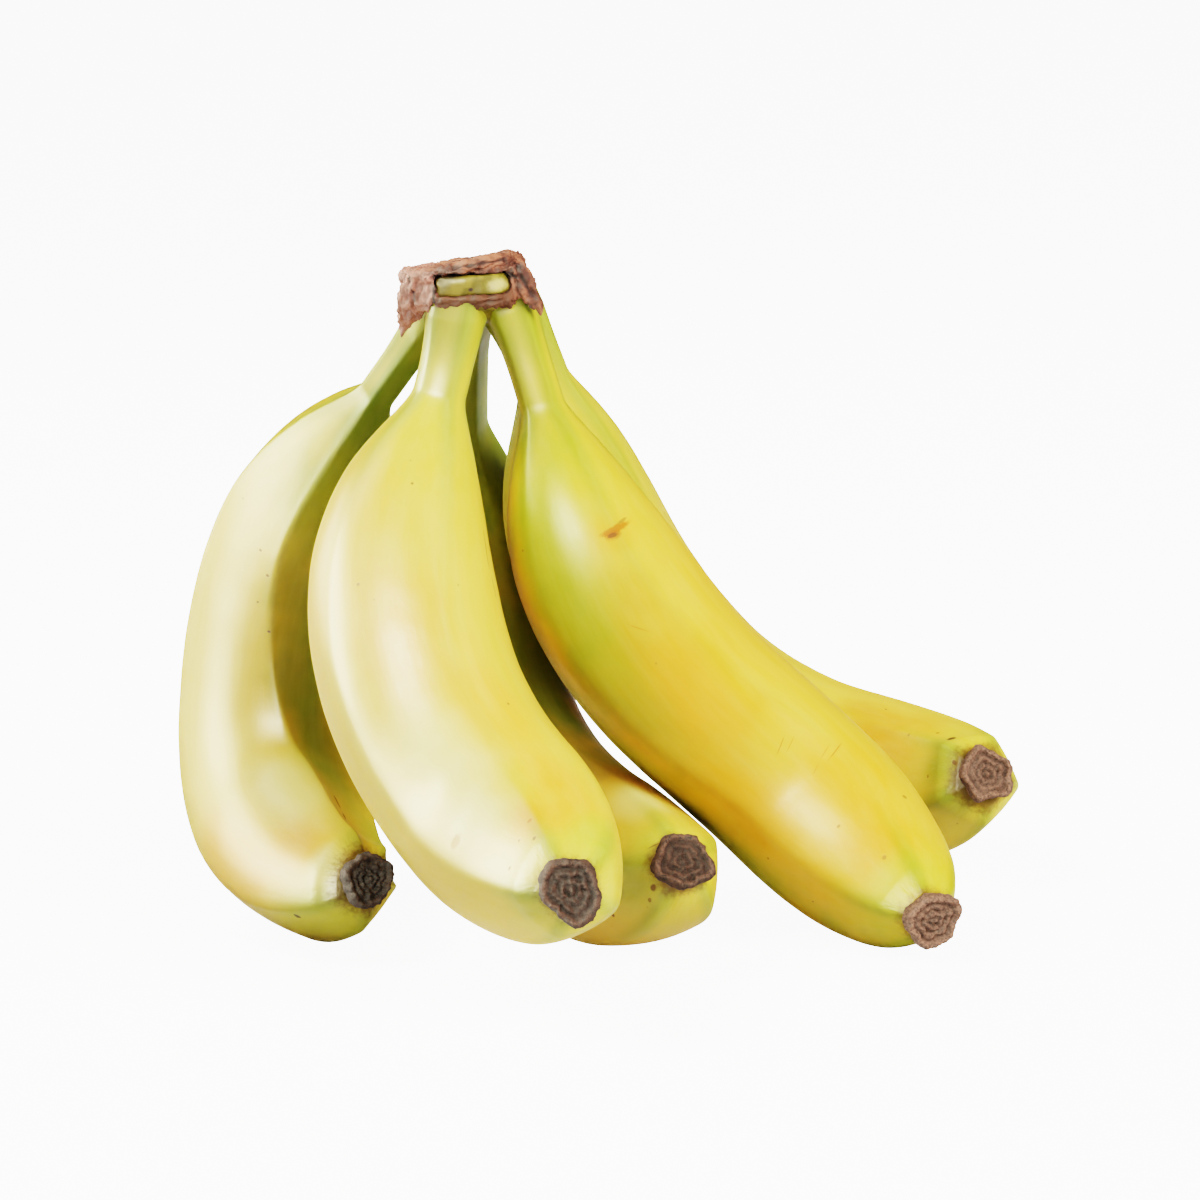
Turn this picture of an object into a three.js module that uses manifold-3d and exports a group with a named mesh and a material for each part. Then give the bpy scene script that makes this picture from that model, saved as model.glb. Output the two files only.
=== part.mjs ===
// A hand of five bananas, cut with a piece of its crown and standing on its fruits, crown up.
// Millimetres, +Z up. The surface it stands on is z = 0.

import * as THREE from 'three';
import { mergeVertices } from 'three/addons/utils/BufferGeometryUtils.js';
import Module from 'manifold-3d';

const wasm = await Module();
wasm.setup();

const degree = Math.PI / 180;
const seam = 0.3;              // gap kept between two pieces that meet

// Driving dimensions that all the fruits share
const shoulderLength = 75;     // stretch over which the stalk widens into the fruit
const shoulderPower = 3.4;     // how suddenly it widens
const shoulderSoftness = 0.08; // rounds the corner where the widening starts
const tipLength = 50;          // stretch over which the fruit narrows to its tip
const tipPower = 1.8;
const tipRadius = 6.2;         // the tip, as wide as the blossom end on it
const bulgeSpan = 6;           // the tip may bulge out a little, this far behind the blossom end
const rooted = 9;              // the stalk runs on into the crown by this much
const stalkTop = 154.2;        // but no stalk rises above this height
const flare = 0.14;            // and is wider there by this share
const flareLength = 14;
const ridgeCount = 5;
const stalkFacet = 0.7;        // 0 is a round section, 1 a pentagon
const stalkFacetLength = 46;
const tipFacet = 0.8;
const tipFacetLength = 54;
const blossomLength = 4.5;     // how far the dried blossom end stands out of the tip
const blossomLobes = 5;
const lobeDepth = 0.06;

const pointsAround = 20;
const ringsAlong = 34;
const pointsRoundCrown = 40;
const crowding = 0.055;        // draws the rings closer together near both ends
const walkSteps = 400;         // steps of the walk along a middle line

// Each fruit hangs from its root in the crown. Its middle line bends in a plane: heading is the
// compass direction that the plane faces, lean tilts it (root, middle, tip), and aim is how far
// the line has turned from straight down at even steps from root to tip. ridgeTurn is how far its
// ridges are turned round it, and stray how far its first ridge is from its even place, also at
// even steps. All angles are in degrees. The body is round with a facet of 0 and a pentagon with
// 1; stalk and tip are more angular.
const fruits = [
  {
    name: 'left', root: [-35.2, 14.3, 145], heading: 301.1, lean: [13.9, 12.2, 15.8],
    aim: [-45.7, -43.5, -18.5, 10.4, 67.2, 108], length: 194.6, girth: 40.4,
    stalkRadius: 4.1, stalkLength: 22.1, bulge: 0.7, ridgeTurn: [0.7, -3, 6, 13.5], facet: 0.6,
    stray: [0, 5, -29, -52],
  },
  {
    name: 'front_left', root: [-26.7, 1.3, 149.9], heading: 227, lean: [14.2, -27.1, -99.5],
    aim: [5, 26, 13.9, 2.9, 16.7, 43.7], length: 172.3, girth: 45.6,
    stalkRadius: 6.2, stalkLength: 18, bulge: 0.1, ridgeTurn: [48, 48, 55.7, 69.3], facet: 0.35,
    stray: [0, 0, 0, 0],
  },
  {
    name: 'back_centre', root: [-25.8, 29.3, 144.2], heading: 299.6, lean: [-17.2, 2.8, -30],
    aim: [-36.9, -20.8, 9.2, 59.2, 85.1, 122.3], length: 215.3, girth: 41.2,
    stalkRadius: 6, stalkLength: 31.8, bulge: -1.1, ridgeTurn: [37.8, 38.3, 40.6, 42.8], facet: 0.5,
    stray: [0, 0, 0, 0],
  },
  {
    name: 'front_right', root: [-13.7, 4.3, 149.4], heading: 216.9, lean: [-14.6, -15.7, -82.4],
    aim: [-8.4, -6.6, -28.7, -37.7, -4.9, 16.8], length: 191.3, girth: 42.5,
    stalkRadius: 5.2, stalkLength: 21.6, bulge: -1, ridgeTurn: [36.8, 40.5, 20.7, 26.5], facet: 0.35,
    stray: [0, 0, 0, 0],
  },
  {
    name: 'back_right', root: [-12.9, 19.8, 146.7], heading: 323.6, lean: [-18.8, -37.2, -59.2],
    aim: [11.4, -6.4, 8.5, 26.1, 81.7, 134.4], length: 212, girth: 40.9,
    stalkRadius: 6.3, stalkLength: 16.3, bulge: 0.6, ridgeTurn: [18, 17.5, 13.7, 10.1], facet: 0.5,
    stray: [0, 0, 0, 0],
  },
];

// The crown: a pad of green flesh that the stalks grow from, capped by a cushion of dried bark.
// A window in the front of the bark shows the flesh, and two dried tongues hang from its sides.
const crown = {
  centre: [-23.5, 15], halfWidth: 15, halfDepth: 22.5, bottom: 152, height: 8.8,
  corner: 2.6,        // squareness of its outline
  topSlope: 0.11,     // the cut top rises towards +X
  topFall: 0.12,      // and falls towards the back
  rough: 0.5,         // height of the waves on it
  waves: 4,
  // Levels: share of its height, width, and how far its +X side is drawn in there
  levels: [
    [0, 0.9, 0], [0.12, 0.99, 0], [0.48, 1, 0.8], [0.66, 0.99, 1.8], [0.72, 1.03, 2.2],
    [0.92, 1.03, 4.2], [1, 0.97, 5.4],
  ],
};
// Ripples in the bark's outline: share of its width, how many go round, how far each level shifts
const ripples = [{ share: 0.02, waves: 5, shift: 7 }, { share: 0.015, waves: 9, shift: -4 }];
const pad = { bottom: 147, top: 154 };
const fleshWindow = {
  x: -21.9, z: 156.6, halfWidth: 8.4, halfHeight: 2.2, corner: 1.2, setBack: 0.9, depth: 6,
};
const fleshPost = { width: 10, depth: 4, bottom: 151.5, top: 157, setBack: 3.6 };
const tongues = [
  { from: [-33.9, -2, 158.5], to: [-39.7, 8.5, 145.6], radius: 4, flat: 0.5 },
  { from: [-13.2, -3.5, 160.5], to: [-7.1, -1, 149.4], radius: 3.3, flat: 0.5 },
];

const skinColour = 0xdfd05a;
const barkColour = 0x8f6248;
const fleshColour = 0xb5b63c;
const blossomColour = 0x5c4133;

// A smooth rise from 0 to 1, steep at first
function easeOut(x, power) {
  const held = Math.min(Math.max(x, 0), 1);
  return 1 - (1 - held) ** power;
}

// Smooth value at fraction t of a list of evenly spaced values
function valueAlong(values, t) {
  const stops = values.map((value, i) => new THREE.Vector2(i, value));
  return new THREE.SplineCurve(stops).getPoint(t).y;
}

// Direction of a fruit's middle line at fraction t of its length
function directionAt(fruit, t) {
  const heading = fruit.heading * degree;
  const lean = valueAlong(fruit.lean, t) * degree;
  const aim = valueAlong(fruit.aim, t) * degree;
  const outward = new THREE.Vector3(Math.cos(heading), Math.sin(heading), 0);
  const downward = new THREE.Vector3(
    Math.sin(lean) * Math.sin(heading), -Math.sin(lean) * Math.cos(heading), -Math.cos(lean),
  );
  return downward.multiplyScalar(Math.cos(aim)).addScaledVector(outward, Math.sin(aim));
}

// Walks the middle line from inside the crown to the tip. Each stop has its distance from the
// root, its place, its direction, and a side direction carried along without twisting.
function walkMiddleLine(fruit) {
  const start = directionAt(fruit, 0);
  const place = new THREE.Vector3(...fruit.root).addScaledVector(start, -rooted);
  const side = new THREE.Vector3(0, -1, 0);
  const step = (fruit.length + rooted) / walkSteps;
  const stops = [];
  for (let i = 0; i <= walkSteps; i++) {
    const distance = i * step - rooted;
    const along = directionAt(fruit, Math.max(distance, 0) / fruit.length);
    side.addScaledVector(along, -side.dot(along)).normalize();
    stops.push({ distance, place: place.clone(), along, side: side.clone() });
    const next = directionAt(fruit, Math.max(distance + step, 0) / fruit.length);
    place.addScaledVector(along.clone().add(next).normalize(), step);
  }
  return stops;
}

function stopAt(stops, distance) {
  const step = stops[1].distance - stops[0].distance;
  const i = Math.round((distance - stops[0].distance) / step);
  return stops[Math.min(Math.max(i, 0), stops.length - 1)];
}

// Radius of a round section at a distance along the fruit
function radiusAt(fruit, distance) {
  const rise = Math.max(distance - fruit.stalkLength, 0) / shoulderLength;
  const softRise = rise * rise / (rise + shoulderSoftness);
  const flaring = flare * (1 - easeOut(distance / flareLength, 2));
  const stalk = fruit.stalkRadius * (1 + flaring);
  const body = stalk + (fruit.girth / 2 - stalk) * easeOut(softRise, shoulderPower);
  const toTip = fruit.length - distance;
  const bulge = fruit.bulge * Math.exp(-(((toTip - bulgeSpan) / bulgeSpan) ** 2));
  return tipRadius + (body - tipRadius) * easeOut(toTip / tipLength, tipPower) + bulge;
}

// How far a pentagon with soft corners stands out from the round section
function ridgeFactor(angle, facet) {
  const half = Math.PI / ridgeCount;
  const turned = angle - 2 * half * Math.floor(angle / (2 * half)) - half;
  const pentagon = Math.cos(half) / Math.cos(turned);
  const meanPentagon = 0.87;
  return 1 + facet * (pentagon / meanPentagon - 1);
}

function facetAt(fruit, distance) {
  const nearStalk = 1 - easeOut(distance / stalkFacetLength, 2);
  const nearTip = 1 - easeOut((fruit.length - distance) / tipFacetLength, 2);
  return fruit.facet + (stalkFacet - fruit.facet) * nearStalk + (tipFacet - fruit.facet) * nearTip;
}

// Closed skin over a list of rings that all have the same number of points
function skinOver(rings) {
  const count = rings[0].length;
  const places = rings.flat();
  const faces = [];
  for (let i = 0; i + 1 < rings.length; i++) {
    for (let j = 0; j < count; j++) {
      const a = i * count + j;
      const b = i * count + (j + 1) % count;
      faces.push(a, b, b + count, a, b + count, a + count);
    }
  }
  for (const [ring, first] of [[rings[0], 0], [rings.at(-1), (rings.length - 1) * count]]) {
    const middle = new THREE.Vector3();
    ring.forEach((point) => middle.addScaledVector(point, 1 / count));
    places.push(middle);
    for (let j = 0; j < count; j++) {
      const pair = [first + j, first + (j + 1) % count];
      faces.push(places.length - 1, ...(first === 0 ? pair.reverse() : pair));
    }
  }
  const geometry = new THREE.BufferGeometry().setFromPoints(places);
  geometry.setIndex(faces);
  return geometry;
}

function solidOf(geometry) {
  const bare = geometry.clone();
  bare.deleteAttribute('normal');
  bare.deleteAttribute('uv');
  const merged = mergeVertices(bare, 1e-5);
  return new wasm.Manifold(new wasm.Mesh({
    numProp: 3,
    vertProperties: new Float32Array(merged.attributes.position.array),
    triVerts: new Uint32Array(merged.index.array),
  }));
}

function meshOf(name, solid, colour, roughness) {
  const data = solid.getMesh();
  const geometry = new THREE.BufferGeometry();
  geometry.setAttribute('position', new THREE.BufferAttribute(data.vertProperties, 3));
  geometry.setIndex(new THREE.BufferAttribute(data.triVerts, 1));
  geometry.computeVertexNormals();
  const material = new THREE.MeshStandardMaterial({ color: colour, roughness, metalness: 0 });
  const mesh = new THREE.Mesh(geometry, material);
  mesh.name = name;
  return mesh;
}

// Share of the stray ridge's shift that a point makes. The ridge before it follows half way.
function strayShare(angle) {
  const ridges = angle * ridgeCount / (2 * Math.PI);
  return Math.max(1 - ridges, 0) + Math.max((ridges - 3) / 2, 0);
}

// A ring of points round a stop. Its first point is turned away from the side direction, and the
// points near it stray from their even places.
function ringAt(stop, radiusOf, turn = 0, stray = 0) {
  const across = new THREE.Vector3().crossVectors(stop.along, stop.side);
  return Array.from({ length: pointsAround }, (_, j) => {
    const even = 2 * Math.PI * j / pointsAround;
    const angle = turn + even + stray * strayShare(even);
    const radius = radiusOf(even);
    return stop.place.clone()
      .addScaledVector(stop.side, radius * Math.cos(angle))
      .addScaledVector(across, radius * Math.sin(angle));
  });
}

// The fruit with its stalk, from inside the crown to just short of the blossom end
function fruitSolid(fruit, grown) {
  const stops = walkMiddleLine(fruit);
  const end = fruit.length - blossomLength + grown;
  const rings = [];
  for (let i = 0; i <= ringsAlong; i++) {
    const t = i / ringsAlong;
    const crowded = t - crowding * Math.sin(2 * Math.PI * t);
    const distance = -rooted + (end + rooted) * crowded;
    const facet = facetAt(fruit, distance);
    const along = Math.max(distance, 0) / fruit.length;
    const turn = valueAlong(fruit.ridgeTurn, along) * degree;
    const stray = valueAlong(fruit.stray, along) * degree;
    rings.push(ringAt(stopAt(stops, distance), (angle) => (
      radiusAt(fruit, distance) * ridgeFactor(angle, facet) + grown
    ), turn, stray));
  }
  return solidOf(skinOver(rings));
}

// The dried end of the flower: a lobed stub with a raised rim and a dished face
function blossomSolid(fruit) {
  const stops = walkMiddleLine(fruit);
  const end = fruit.length - blossomLength + seam;
  const profile = [[0, 0.9], [0.35, 1.05], [0.75, 1], [1, 0.86], [0.86, 0.6], [0.8, 0.3], [0.95, 0.16]];
  const last = stops.at(-1);
  const rings = profile.map(([height, width]) => {
    const distance = end + height * blossomLength;
    const stop = stopAt(stops, Math.min(distance, fruit.length));
    const beyond = stop.place.clone().addScaledVector(last.along, Math.max(distance - fruit.length, 0));
    return ringAt({ ...stop, place: beyond }, (angle) => (
      tipRadius * width * (1 + lobeDepth * Math.cos(blossomLobes * angle + fruit.heading))
    ));
  });
  return solidOf(skinOver(rings));
}

// Outline of the crown seen from above, at an angle round its middle
function crownRadius(angle, grown) {
  const wide = Math.abs(Math.cos(angle)) / (crown.halfWidth + grown);
  const deep = Math.abs(Math.sin(angle)) / (crown.halfDepth + grown);
  return (wide ** crown.corner + deep ** crown.corner) ** (-1 / crown.corner);
}

// A level of the crown: its outline narrowed by a share and drawn in on its +X side, at a height
// that may vary round it
function crownRing(grown, width, drawnIn, heightAt) {
  return Array.from({ length: pointsRoundCrown }, (_, j) => {
    const angle = 2 * Math.PI * j / pointsRoundCrown;
    const radius = crownRadius(angle, grown) * width(angle);
    const x = radius * Math.cos(angle) - drawnIn * Math.max(Math.cos(angle), 0);
    const y = radius * Math.sin(angle);
    return new THREE.Vector3(crown.centre[0] + x, crown.centre[1] + y, heightAt(x, y, angle));
  });
}

function barkCushion(grown) {
  return solidOf(skinOver(crown.levels.map(([share, width, drawnIn]) => {
    const rippled = (angle) => ripples.reduce((sum, ripple) => (
      sum + width * ripple.share * Math.sin(ripple.waves * angle + ripple.shift * share)
    ), width);
    return crownRing(grown, rippled, drawnIn, (x, y, angle) => {
      const wave = crown.rough * Math.sin(crown.waves * angle);
      const rise = crown.topSlope * x - crown.topFall * y + wave;
      return crown.bottom - grown + share * (crown.height + 2 * grown + rise);
    });
  })));
}

function fleshPad(grown) {
  const levels = [[0, 0.4], [0.25, 0.62], [0.6, 0.76], [1, 0.8]];
  const span = pad.top - pad.bottom + 2 * grown;
  return solidOf(skinOver(levels.map(([share, width]) => (
    crownRing(grown, () => width, 0, () => pad.bottom - grown + share * span)
  ))));
}

// The opening in the front of the bark, from well outside it to the depth of the flesh
function windowOpening(grown) {
  const front = crown.centre[1] - crown.halfDepth;
  const outside = 5;
  const halfWidth = fleshWindow.halfWidth + grown;
  const halfHeight = fleshWindow.halfHeight + grown;
  const corner = fleshWindow.corner + grown;
  const shape = new THREE.Shape();
  shape.absarc(halfWidth - halfHeight, 0, halfHeight, -Math.PI / 2, Math.PI / 2);
  shape.absarc(corner - halfWidth, halfHeight - corner, corner, Math.PI / 2, Math.PI);
  shape.absarc(corner - halfWidth, corner - halfHeight, corner, Math.PI, 1.5 * Math.PI);
  const bar = new THREE.ExtrudeGeometry(shape, {
    depth: outside + fleshWindow.depth + grown, bevelEnabled: false, curveSegments: 6,
  });
  bar.rotateX(-Math.PI / 2);
  bar.translate(fleshWindow.x, front - outside, fleshWindow.z);
  return solidOf(bar);
}

// The flesh that fills the opening, and the post behind the bark that joins it to the pad
function crownFlesh(grown) {
  const post = new THREE.BoxGeometry(
    fleshPost.width + 2 * grown, fleshPost.depth + 2 * grown, fleshPost.top - fleshPost.bottom,
  );
  post.translate(
    fleshWindow.x, crown.centre[1] - crown.halfDepth + fleshPost.setBack + fleshPost.depth / 2,
    (fleshPost.top + fleshPost.bottom) / 2,
  );
  const behindOpening = barkCushion(grown - fleshWindow.setBack).intersect(windowOpening(grown));
  return fleshPad(grown).add(solidOf(post)).add(behindOpening);
}

// A flat dried tongue that runs down from the bark over a stalk
function driedTongue(tongue, grown) {
  const from = new THREE.Vector3(...tongue.from);
  const to = new THREE.Vector3(...tongue.to);
  const along = to.clone().sub(from).normalize();
  const side = new THREE.Vector3(0, -1, 0);
  side.addScaledVector(along, -side.dot(along)).normalize();
  const widths = [[0, 0.9], [0.4, 0.95], [0.75, 0.5], [1, 0.14]];
  return solidOf(skinOver(widths.map(([t, width]) => {
    const place = from.clone().lerp(to, t);
    return ringAt({ place, along, side }, (angle) => {
      const narrow = 1 / Math.hypot(Math.cos(angle) / tongue.flat, Math.sin(angle));
      return tongue.radius * width * narrow + grown;
    });
  })));
}

function crownBark(grown) {
  return tongues.reduce(
    (solid, tongue) => solid.add(driedTongue(tongue, grown)), barkCushion(grown),
  );
}

// The room the fruits may fill: from the surface they stand on up to where their stalks end
function fruitSpace() {
  const span = 400;
  const box = new THREE.BoxGeometry(span, span, stalkTop);
  box.translate(0, 0, stalkTop / 2);
  return solidOf(box);
}

const hand = new THREE.Group();

const flesh = crownFlesh(0);
const bark = crownBark(0).subtract(crownFlesh(seam)).subtract(windowOpening(seam));
hand.add(meshOf('crown_flesh', flesh, fleshColour, 0.5));
hand.add(meshOf('crown_bark', bark, barkColour, 0.9));

const space = fruitSpace();
const crownSpace = crownBark(seam).add(crownFlesh(seam));
const placed = [];
for (const fruit of fruits) {
  let solid = fruitSolid(fruit, 0).intersect(space).subtract(crownSpace);
  for (const neighbour of placed) {
    solid = solid.subtract(fruitSolid(neighbour, seam));
  }
  placed.push(fruit);
  hand.add(meshOf(`banana_${fruit.name}`, solid, skinColour, 0.45));
  hand.add(meshOf(`blossom_end_${fruit.name}`, blossomSolid(fruit), blossomColour, 0.95));
}

export default hand;
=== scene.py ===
import math

import bmesh
import bpy
from mathutils import Matrix, Vector, noise


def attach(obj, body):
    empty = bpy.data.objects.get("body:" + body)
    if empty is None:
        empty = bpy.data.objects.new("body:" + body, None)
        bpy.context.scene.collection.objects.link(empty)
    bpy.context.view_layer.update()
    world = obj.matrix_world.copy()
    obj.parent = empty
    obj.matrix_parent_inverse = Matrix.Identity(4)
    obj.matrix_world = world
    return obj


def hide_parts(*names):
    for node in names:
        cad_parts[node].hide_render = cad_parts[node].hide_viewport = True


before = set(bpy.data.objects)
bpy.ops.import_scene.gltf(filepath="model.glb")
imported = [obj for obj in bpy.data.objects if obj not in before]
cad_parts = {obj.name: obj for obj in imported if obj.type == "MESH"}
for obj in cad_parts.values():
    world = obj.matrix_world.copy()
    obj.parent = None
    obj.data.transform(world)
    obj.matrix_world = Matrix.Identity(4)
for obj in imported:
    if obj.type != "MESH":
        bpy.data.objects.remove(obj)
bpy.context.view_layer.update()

print("frame loaded:", len(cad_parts), "nodes")

mm = 0.001
degree = math.pi / 180


def tint(red, green, blue):                     # 0-255 display colour as a linear colour
    def linear(value):
        value /= 255
        return value / 12.92 if value <= 0.04045 else ((value + 0.055) / 1.055) ** 2.4
    return (linear(red), linear(green), linear(blue), 1.0)


class Wire:                                     # a socket that does sums: a + b adds a Math node
    def __init__(self, bench, socket):
        self.bench = bench
        self.socket = socket

    def maths(self, operation, *values):        # one value: the operation on this wire alone
        values = values or (self,)
        return self.bench.node("ShaderNodeMath", {"operation": operation}, dict(enumerate(values)))

    def __add__(self, other):
        return self.maths("ADD", self, other)

    def __radd__(self, other):
        return self.maths("ADD", other, self)

    def __sub__(self, other):
        return self.maths("SUBTRACT", self, other)

    def __rsub__(self, other):
        return self.maths("SUBTRACT", other, self)

    def __mul__(self, other):
        return self.maths("MULTIPLY", self, other)

    def __rmul__(self, other):
        return self.maths("MULTIPLY", other, self)

    def __truediv__(self, other):
        return self.maths("DIVIDE", self, other)

    def __rtruediv__(self, other):
        return self.maths("DIVIDE", other, self)

    def __pow__(self, other):
        return self.maths("POWER", self, other)

    def __abs__(self):
        return self.maths("ABSOLUTE", self)

    def least(self, other):
        return self.maths("MINIMUM", self, other)

    def most(self, other):
        return self.maths("MAXIMUM", self, other)

    def held(self):                             # held between 0 and 1
        return self.least(1.0).most(0.0)

    def easeOut(self, power):
        return 1 - (1 - self.held()) ** power

    def step(self, low, high):                  # 0 below low, 1 above high, smooth between
        return self.bench.node(
            "ShaderNodeMapRange", {"interpolation_type": "SMOOTHSTEP"},
            {"Value": self, "From Min": low, "From Max": high})


class Bench:                                    # a node tree and the one method that adds to it
    def __init__(self, tree):
        self.tree = tree

    def node(self, kind, settings=None, sockets=None, out=0):
        made = self.tree.nodes.new(kind)
        for name, value in (settings or {}).items():
            setattr(made, name, value)
        for key, value in (sockets or {}).items():
            if isinstance(value, Wire):
                self.tree.links.new(value.socket, made.inputs[key])
            else:
                made.inputs[key].default_value = value
        return Wire(self, made.outputs[out])

    def vector(self, x, y, z):
        return self.node("ShaderNodeCombineXYZ", None, {0: x, 1: y, 2: z})

    def vectorMaths(self, operation, *values):
        return self.node("ShaderNodeVectorMath", {"operation": operation}, dict(enumerate(values)))

    def scaled(self, vector, factor):
        return self.node("ShaderNodeVectorMath", {"operation": "SCALE"}, {0: vector, "Scale": factor})

    def parts(self, vector):
        split = self.tree.nodes.new("ShaderNodeSeparateXYZ")
        self.tree.links.new(vector.socket, split.inputs[0])
        return [Wire(self, socket) for socket in split.outputs]

    def blend(self, factor, first, second):     # colours
        return self.node(
            "ShaderNodeMix", {"data_type": "RGBA", "clamp_factor": True},
            {0: factor, 6: first, 7: second}, 2)

    def noise(self, place, scale, detail=2.0, roughness=0.5):
        return self.node(
            "ShaderNodeTexNoise", {"noise_dimensions": "3D"},
            {"Vector": place, "Scale": scale, "Detail": detail, "Roughness": roughness})

    def attribute(self, name, out="Fac"):
        return self.node("ShaderNodeAttribute", {"attribute_name": name}, None, out)


def newMaterial(name, colour, roughness):       # returns the material, its bench and its shader
    material = bpy.data.materials.new(name)
    material.use_nodes = True
    material.diffuse_color = colour
    bench = Bench(material.node_tree)
    shader = material.node_tree.nodes["Principled BSDF"]
    shader.inputs["Base Color"].default_value = colour
    shader.inputs["Roughness"].default_value = roughness
    return material, bench, shader


def feed(bench, shader, name, value):
    bench.tree.links.new(value.socket, shader.inputs[name])


def roughen(bench, shader, strength, depth, height):         # bump
    bump = bench.node(
        "ShaderNodeBump", None, {"Strength": strength, "Distance": depth, "Height": height})
    feed(bench, shader, "Normal", bump)


def plainPiece(name, mesh, material=None):      # an object at the origin that holds the mesh
    if material:
        mesh.materials.clear()
        mesh.materials.append(material)
    piece = bpy.data.objects.new(name, mesh)
    bpy.context.scene.collection.objects.link(piece)
    return piece


def grown(piece, tree, values):                 # runs a node tree on a piece and keeps the result
    modifier = piece.modifiers.new(tree.name, "NODES")
    modifier.node_group = tree
    sockets = {item.name: item.identifier for item in tree.interface.items_tree
               if item.item_type == "SOCKET" and item.in_out == "INPUT"}
    for name, value in values.items():
        modifier[sockets[name]] = value
    evaluated = piece.evaluated_get(bpy.context.evaluated_depsgraph_get())
    mesh = bpy.data.meshes.new_from_object(evaluated)
    piece.modifiers.remove(modifier)
    start = piece.data
    piece.data = mesh
    bpy.data.meshes.remove(start)
    facesOutward(mesh)


def facesOutward(mesh):
    work = bmesh.new()
    work.from_mesh(mesh)
    bmesh.ops.recalc_face_normals(work, faces=work.faces)
    work.to_mesh(mesh)
    work.free()


def newTree(name, inputs):                      # a geometry tree with named inputs
    tree = bpy.data.node_groups.new(name, "GeometryNodeTree")
    tree.interface.new_socket("Geometry", in_out="INPUT", socket_type="NodeSocketGeometry")
    tree.interface.new_socket("Geometry", in_out="OUTPUT", socket_type="NodeSocketGeometry")
    for label, kind in inputs.items():
        tree.interface.new_socket(label, in_out="INPUT", socket_type="NodeSocket" + kind)
    bench = Bench(tree)
    entry = tree.nodes.new("NodeGroupInput")
    given = {socket.name: Wire(bench, socket) for socket in entry.outputs if socket.name}
    return tree, bench, given


def finishTree(bench, grid, position, material):             # both trees end the same way
    skin = bench.node("GeometryNodeSetPosition", None, {"Geometry": grid, "Position": position})
    skin = bench.node("GeometryNodeMergeByDistance", None, {"Geometry": skin, "Distance": 1e-6})
    skin = bench.node("GeometryNodeSetShadeSmooth", None, {"Geometry": skin})
    real = bench.node("GeometryNodeRealizeInstances", None, {0: skin})
    dressed = bench.node("GeometryNodeSetMaterial", None, {"Geometry": real, "Material": material})
    end = bench.tree.nodes.new("NodeGroupOutput")
    bench.tree.links.new(dressed.socket, end.inputs[0])


cameraPlace = {
    "target": (2.36 * mm, 4.29 * mm, 81 * mm), "distance": 900 * mm, "elevation": 12 * degree,
    "roll": 3.5 * degree, "lens": 116.1, "sensor": 36, "clip": (0.01, 50),
}


def makeCamera(place):
    ahead = Vector((0, math.cos(place["elevation"]), -math.sin(place["elevation"])))
    right = Vector((1, 0, 0))
    above = right.cross(ahead)
    turnedRight = right * math.cos(place["roll"]) - above * math.sin(place["roll"])
    turnedAbove = right * math.sin(place["roll"]) + above * math.cos(place["roll"])
    data = bpy.data.cameras.new("camera")
    data.lens = place["lens"]
    data.sensor_width = place["sensor"]
    data.clip_start, data.clip_end = place["clip"]
    camera = bpy.data.objects.new("camera", data)
    bpy.context.scene.collection.objects.link(camera)
    turn = Matrix((turnedRight, turnedAbove, -ahead)).transposed().to_4x4()
    stand = Vector(place["target"]) - ahead * place["distance"]
    camera.matrix_world = Matrix.Translation(stand) @ turn
    bpy.context.scene.camera = camera


makeCamera(cameraPlace)
print("camera set")


peelLook = {
    "yellow": tint(212, 175, 68), "golden": tint(222, 148, 40), "green": tint(178, 172, 50),
    "deepGreen": tint(98, 128, 16), "olive": tint(164, 138, 30), "amber": tint(200, 134, 24),
    "pale": tint(230, 220, 150), "brown": tint(104, 66, 30),
    "dark": tint(60, 38, 24), "bruise": tint(176, 100, 30), "roughness": 0.39, "ior": 1.5,
    "broadNoise": 14.0, "streakNoise": 260.0, "streakStretch": 0.12, "fineNoise": 900.0,
    "zoneNoise": 70.0, "zoneRagged": 0.45, "zoneCore": 0.2, "markRagged": 0.4, "markCore": 0.55,
    "ridgeGreenWidth": (0.0004, 0.0036), "freckles": 210.0, "wrinkleNoise": 800.0,
    "wrinkleStretch": 0.35, "bump": 0.22, "bumpDepth": 0.0006,
}

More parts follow.
